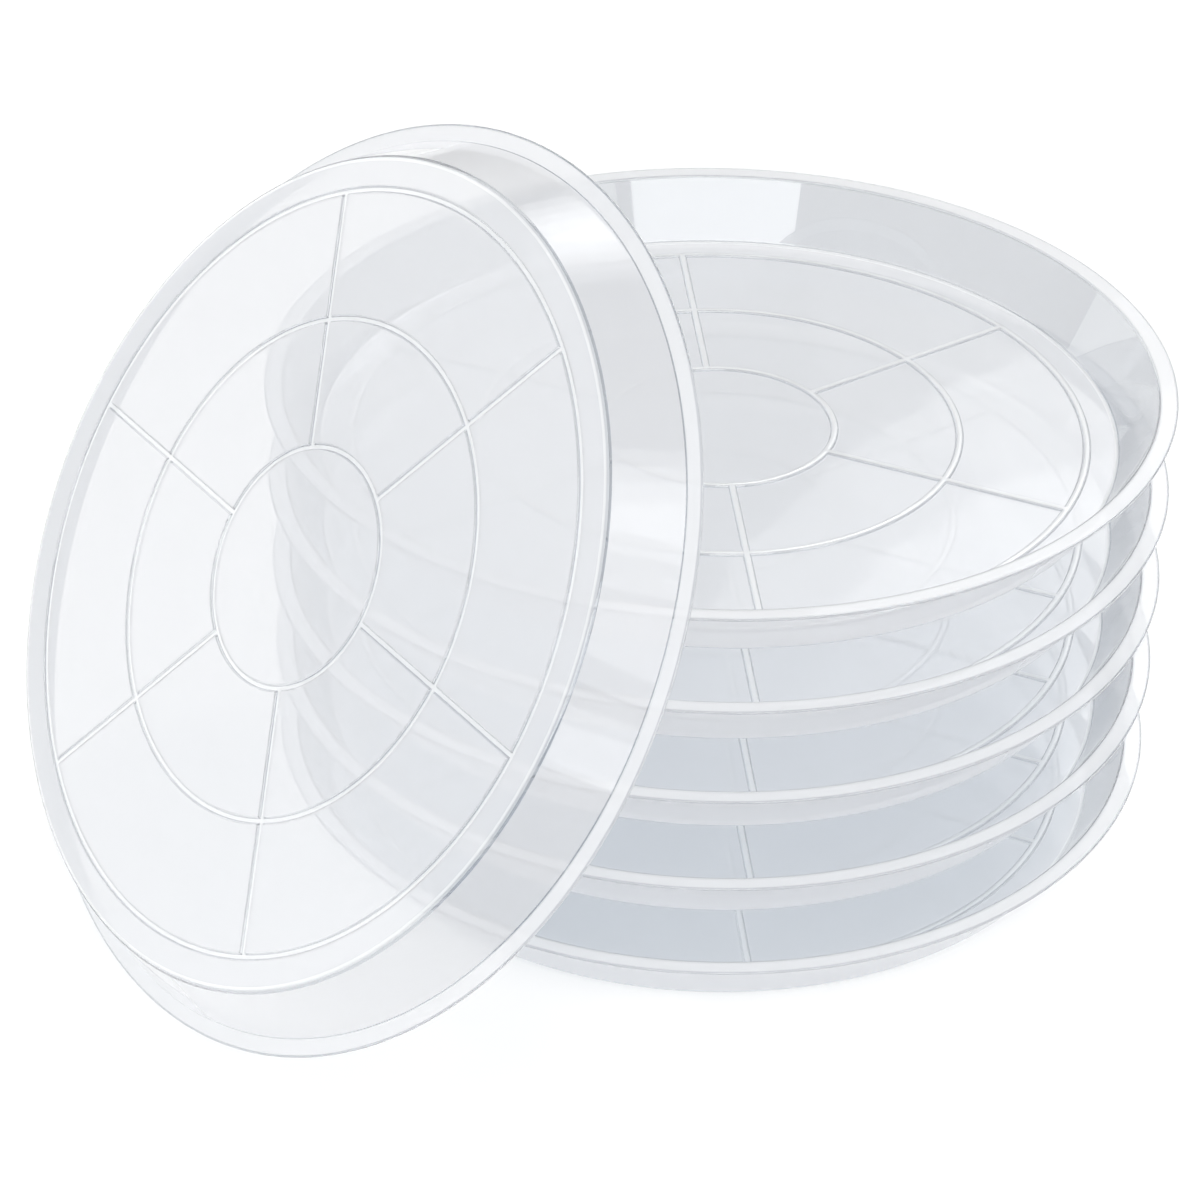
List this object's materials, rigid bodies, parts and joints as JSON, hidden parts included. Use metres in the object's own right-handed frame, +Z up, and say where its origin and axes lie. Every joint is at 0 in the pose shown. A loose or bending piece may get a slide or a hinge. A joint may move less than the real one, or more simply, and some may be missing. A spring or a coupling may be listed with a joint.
{
  "type": "plant saucer set",
  "caption": "Clear plastic plant saucers with ribbed floors and flat rims, held level in a column with one more leaning over its side.",
  "frame": {"origin": "middle of the lowest saucer's underside, on the floor", "axes": "+Z up along the column's axis; +X from the leaning saucer towards the column; +Y away from a viewer who has the leaning saucer at the left"},
  "size_m": [0.3872, 0.3, 0.25],
  "materials": {
    "clear_plastic": "clear and glossy, paler along the rim"
  },
  "bodies": {
    "bottom_saucer": {"bottom_saucer": "clear_plastic"},
    "second_saucer": {"second_saucer": "clear_plastic"},
    "third_saucer": {"third_saucer": "clear_plastic"},
    "fourth_saucer": {"fourth_saucer": "clear_plastic"},
    "top_saucer": {"top_saucer": "clear_plastic"},
    "leaning_saucer": {"leaning_saucer": "clear_plastic"}
  },
  "joints": [
    {"name": "second_saucer_lift", "type": "slide", "parent": "bottom_saucer", "child": "second_saucer", "axis": [0.766, 0, 0.6428], "range_m": [0, 0.12]},
    {"name": "third_saucer_lift", "type": "slide", "parent": "second_saucer", "child": "third_saucer", "axis": [0.766, 0, 0.6428], "range_m": [0, 0.12]},
    {"name": "fourth_saucer_lift", "type": "slide", "parent": "third_saucer", "child": "fourth_saucer", "axis": [0.766, 0, 0.6428], "range_m": [0, 0.12]},
    {"name": "top_saucer_lift", "type": "slide", "parent": "fourth_saucer", "child": "top_saucer", "axis": [0.766, 0, 0.6428], "range_m": [0, 0.12]},
    {"name": "leaning_saucer_tip", "type": "hinge", "parent": "bottom_saucer", "child": "leaning_saucer", "pos_m": [-0.22861, 0, 0], "axis": [0, -1, 0], "range_deg": [0, 70]}
  ]
}
